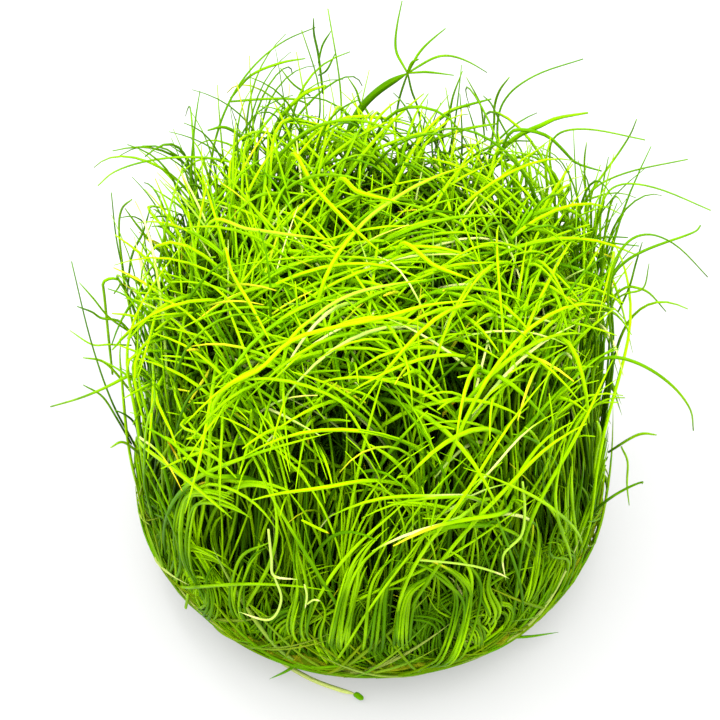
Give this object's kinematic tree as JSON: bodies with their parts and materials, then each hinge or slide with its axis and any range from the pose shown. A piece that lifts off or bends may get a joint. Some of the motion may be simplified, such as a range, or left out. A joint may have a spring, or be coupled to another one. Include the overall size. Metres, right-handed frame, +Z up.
{
  "type": "dwarf hairgrass clump",
  "caption": "Round clump of dwarf hairgrass lifted from its culture cup: needle leaves on a felted root mat, domed on top, with stray leaves and a runner.",
  "frame": {"origin": "centre of the flat underside of the root mat", "axes": "+Z up along the leaves, -Y towards the viewer of the picture, +X to their right"},
  "size_m": [0.0758, 0.0688, 0.0587],
  "materials": {
    "root_felt": "matte felted roots and pale runners",
    "grass": "soft sheen on fresh green needle leaves",
    "long_leaf": "soft sheen on lime needle leaves",
    "runner": "satin olive stem"
  },
  "bodies": {
    "root": {"root_mat": "root_felt", "tuft_01": "grass", "tuft_02": "grass", "tuft_03": "grass", "tuft_04": "grass", "tuft_05": "grass", "tuft_06": "grass", "tuft_07": "grass", "tuft_08": "grass", "tuft_09": "grass", "tuft_10": "grass", "tuft_11": "grass", "tuft_12": "grass", "tuft_13": "grass", "tuft_14": "grass", "tuft_15": "grass", "tuft_16": "grass", "tuft_17": "grass", "tuft_18": "grass", "tuft_19": "grass", "tuft_20": "grass", "tuft_21": "grass", "tuft_22": "grass", "tuft_23": "grass", "tuft_24": "grass", "tuft_25": "grass", "tuft_26": "grass", "tuft_27": "grass", "tuft_28": "grass", "tuft_29": "grass", "tuft_30": "grass", "tuft_31": "grass", "tuft_32": "grass", "tuft_33": "grass", "tuft_34": "grass", "tuft_35": "grass", "tuft_36": "grass", "tuft_37": "grass", "leaf_left_tall": "long_leaf", "leaf_left_level": "long_leaf", "leaf_left_arch": "long_leaf", "leaf_left_short": "long_leaf", "leaf_back_hoop": "long_leaf", "leaf_back_lean": "long_leaf", "leaf_back_tall": "long_leaf", "leaf_far_reach": "long_leaf", "leaf_right_hoop": "long_leaf", "leaf_right_straight": "long_leaf", "leaf_right_rise": "long_leaf", "leaf_right_reach": "long_leaf", "leaf_right_lift": "long_leaf", "leaf_right_bow": "long_leaf", "leaf_right_droop": "long_leaf", "leaf_right_low": "long_leaf", "runner": "runner", "shoot_leaf_up": "long_leaf", "shoot_leaf_lean": "long_leaf", "shoot_leaf_arch": "long_leaf", "shoot_leaf_side": "long_leaf"}
  },
  "joints": []
}
